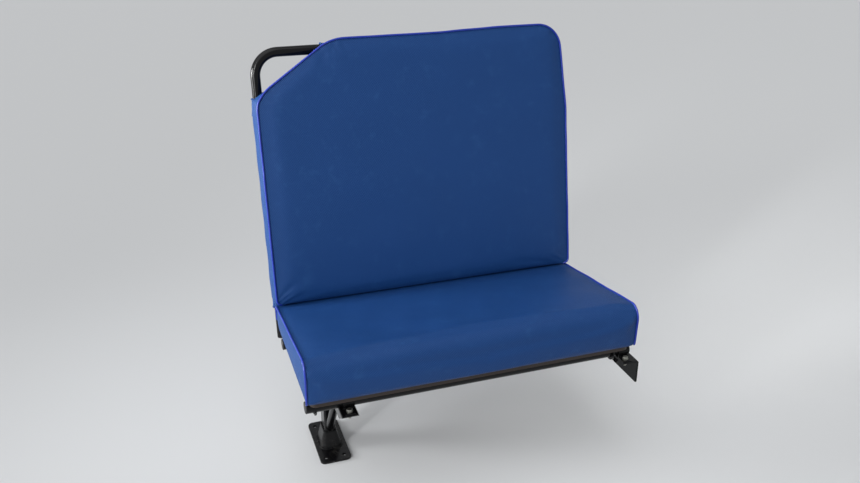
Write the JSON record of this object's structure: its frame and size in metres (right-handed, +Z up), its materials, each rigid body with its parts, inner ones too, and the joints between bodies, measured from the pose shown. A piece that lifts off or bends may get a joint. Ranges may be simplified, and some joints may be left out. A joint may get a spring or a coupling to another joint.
{
  "type": "bus passenger seat",
  "caption": "Fixed double passenger seat of a city bus: upholstered cushion and backrest on a tubular frame whose bent corner is the grab handle, with floor pedestal and wall bracket.",
  "frame": {"origin": "on the floor, at the centre of the four bolt holes in the pedestal foot", "axes": "+Z up, -Y the way the passengers face, +X towards the side wall, -X towards the aisle"},
  "size_m": [0.887, 0.5909, 1.0775],
  "materials": {
    "upholstery": "finely patterned coated cloth, satin, with piped edges",
    "black_paint": "semi-gloss powder coat",
    "black_plastic": "moulded, fine grain",
    "board": "film-faced plywood, sealed edges"
  },
  "bodies": {
    "root": {"backrest_pad": "upholstery", "seat_cushion": "upholstery", "cushion_board": "board", "back_frame_tube": "black_paint", "side_plate_aisle": "black_paint", "side_plate_window": "black_paint", "middle_bearer": "black_paint", "pedestal_head": "black_paint", "pedestal_post": "black_paint", "pedestal_brace": "black_paint", "foot_flare": "black_paint", "pedestal_foot": "black_paint", "wall_angle": "black_paint", "wall_gusset_front": "black_paint", "wall_gusset_rear": "black_paint", "front_cross_tube": "black_paint", "rear_cross_tube": "black_paint", "front_strap_pedestal": "black_paint", "rear_strap_pedestal": "black_paint", "front_strap_wall": "black_paint", "rear_strap_wall": "black_paint", "upright_plug_aisle": "black_plastic", "upright_plug_window": "black_plastic", "front_plug_aisle": "black_plastic", "rear_plug_aisle": "black_plastic", "front_plug_wall": "black_plastic", "rear_plug_wall": "black_plastic"}
  },
  "joints": []
}
